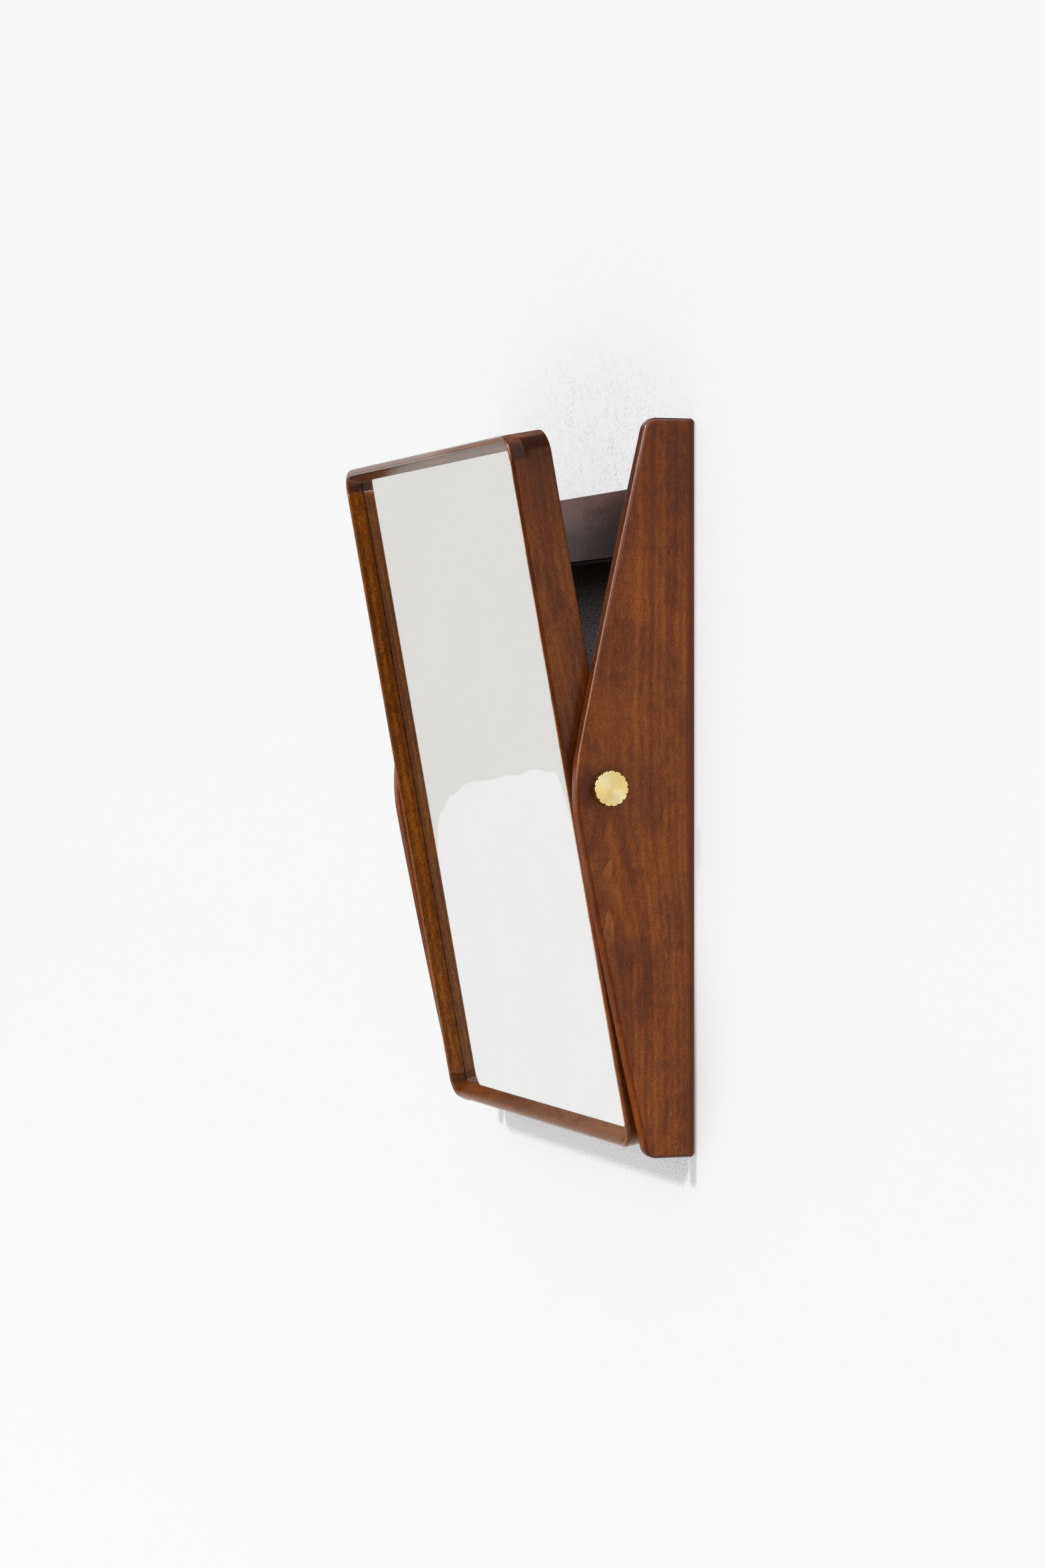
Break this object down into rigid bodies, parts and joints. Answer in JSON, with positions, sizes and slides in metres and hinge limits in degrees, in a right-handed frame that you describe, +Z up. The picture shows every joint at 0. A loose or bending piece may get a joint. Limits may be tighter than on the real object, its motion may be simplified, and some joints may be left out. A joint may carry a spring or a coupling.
{
  "type": "tilting wall mirror",
  "caption": "Rectangular framed wall mirror that tilts between two kite-shaped wooden cheeks and is clamped by a brass thumb knob on each side.",
  "frame": {"origin": "middle of the flat back face of the upper rail, on the wall plane", "axes": "+X to the right seen from the room, +Y into the wall, +Z up"},
  "size_m": [0.4504, 0.1365, 0.525],
  "materials": {
    "stained_wood": "walnut-brown stained hardwood under a satin lacquer",
    "rail_wood": "darker stained hardwood, satin",
    "dowel_wood": "plain beech, unfinished",
    "hardboard": "brown hardboard",
    "mirror_glass": "silvered float glass",
    "brass": "turned brass, fine machining rings",
    "steel": "zinc-plated steel",
    "leather": "dark brown leather"
  },
  "bodies": {
    "bracket": {"left_cheek": "stained_wood", "left_pivot_bush": "brass", "right_cheek": "stained_wood", "right_pivot_bush": "brass", "upper_rail": "rail_wood", "upper_rail_dowel_left_top": "dowel_wood", "upper_rail_dowel_left_bottom": "dowel_wood", "upper_rail_dowel_right_top": "dowel_wood", "upper_rail_dowel_right_bottom": "dowel_wood", "lower_rail": "rail_wood", "lower_rail_dowel_left_top": "dowel_wood", "lower_rail_dowel_left_bottom": "dowel_wood", "lower_rail_dowel_right_top": "dowel_wood", "lower_rail_dowel_right_bottom": "dowel_wood", "keyhole_hanger_left": "steel", "hanger_screw_left_upper": "steel", "hanger_screw_left_lower": "steel", "keyhole_hanger_right": "steel", "hanger_screw_right_upper": "steel", "hanger_screw_right_lower": "steel"},
    "mirror": {"frame_top_rail": "stained_wood", "frame_bottom_rail": "stained_wood", "frame_left_stile": "stained_wood", "frame_right_stile": "stained_wood", "mirror_glass": "mirror_glass", "backing_board": "hardboard", "retaining_bead_top": "rail_wood", "retaining_bead_bottom": "rail_wood", "retaining_bead_left_upper": "rail_wood", "retaining_bead_left_lower": "rail_wood", "retaining_bead_right_upper": "rail_wood", "retaining_bead_right_lower": "rail_wood", "bead_pin_top_left": "steel", "bead_pin_top_right": "steel", "bead_pin_bottom_left": "steel", "bead_pin_bottom_right": "steel", "bead_pin_left_upper_inner": "steel", "bead_pin_left_upper_outer": "steel", "bead_pin_left_lower_inner": "steel", "bead_pin_left_lower_outer": "steel", "bead_pin_right_upper_inner": "steel", "bead_pin_right_upper_outer": "steel", "bead_pin_right_lower_inner": "steel", "bead_pin_right_lower_outer": "steel", "left_pivot_plate": "brass", "pivot_plate_screw_left_upper": "brass", "pivot_plate_screw_left_lower": "brass", "left_friction_washer": "leather", "right_pivot_plate": "brass", "pivot_plate_screw_right_upper": "brass", "pivot_plate_screw_right_lower": "brass", "right_friction_washer": "leather"},
    "left_clamp": {"left_clamp_washer": "brass"},
    "left_thumb_knob": {"left_knob": "brass", "left_knob_stud": "brass"},
    "right_clamp": {"right_clamp_washer": "brass"},
    "right_thumb_knob": {"right_knob": "brass", "right_knob_stud": "brass"}
  },
  "joints": [
    {"name": "mirror_tilt", "type": "hinge", "parent": "bracket", "child": "mirror", "pos_m": [0, -0.066, -0.193], "axis": [1, 0, 0], "range_deg": [-22, 1.2]},
    {"name": "left_knob_travel", "type": "slide", "parent": "mirror", "child": "left_clamp", "axis": [-1, 0, 0], "range_m": [0, 0.001]},
    {"name": "left_knob_turn", "type": "hinge", "parent": "left_clamp", "child": "left_thumb_knob", "pos_m": [0, -0.066, -0.193], "axis": [-1, 0, 0], "range_deg": [0, 360]},
    {"name": "right_knob_travel", "type": "slide", "parent": "mirror", "child": "right_clamp", "axis": [1, 0, 0], "range_m": [0, 0.001]},
    {"name": "right_knob_turn", "type": "hinge", "parent": "right_clamp", "child": "right_thumb_knob", "pos_m": [0, -0.066, -0.193], "axis": [1, 0, 0], "range_deg": [0, 360]}
  ],
  "couplings": [
    {"joint": "left_knob_travel", "follows": "left_knob_turn", "m_per_rad": 0.00015915},
    {"joint": "right_knob_travel", "follows": "right_knob_turn", "m_per_rad": 0.00015915}
  ]
}
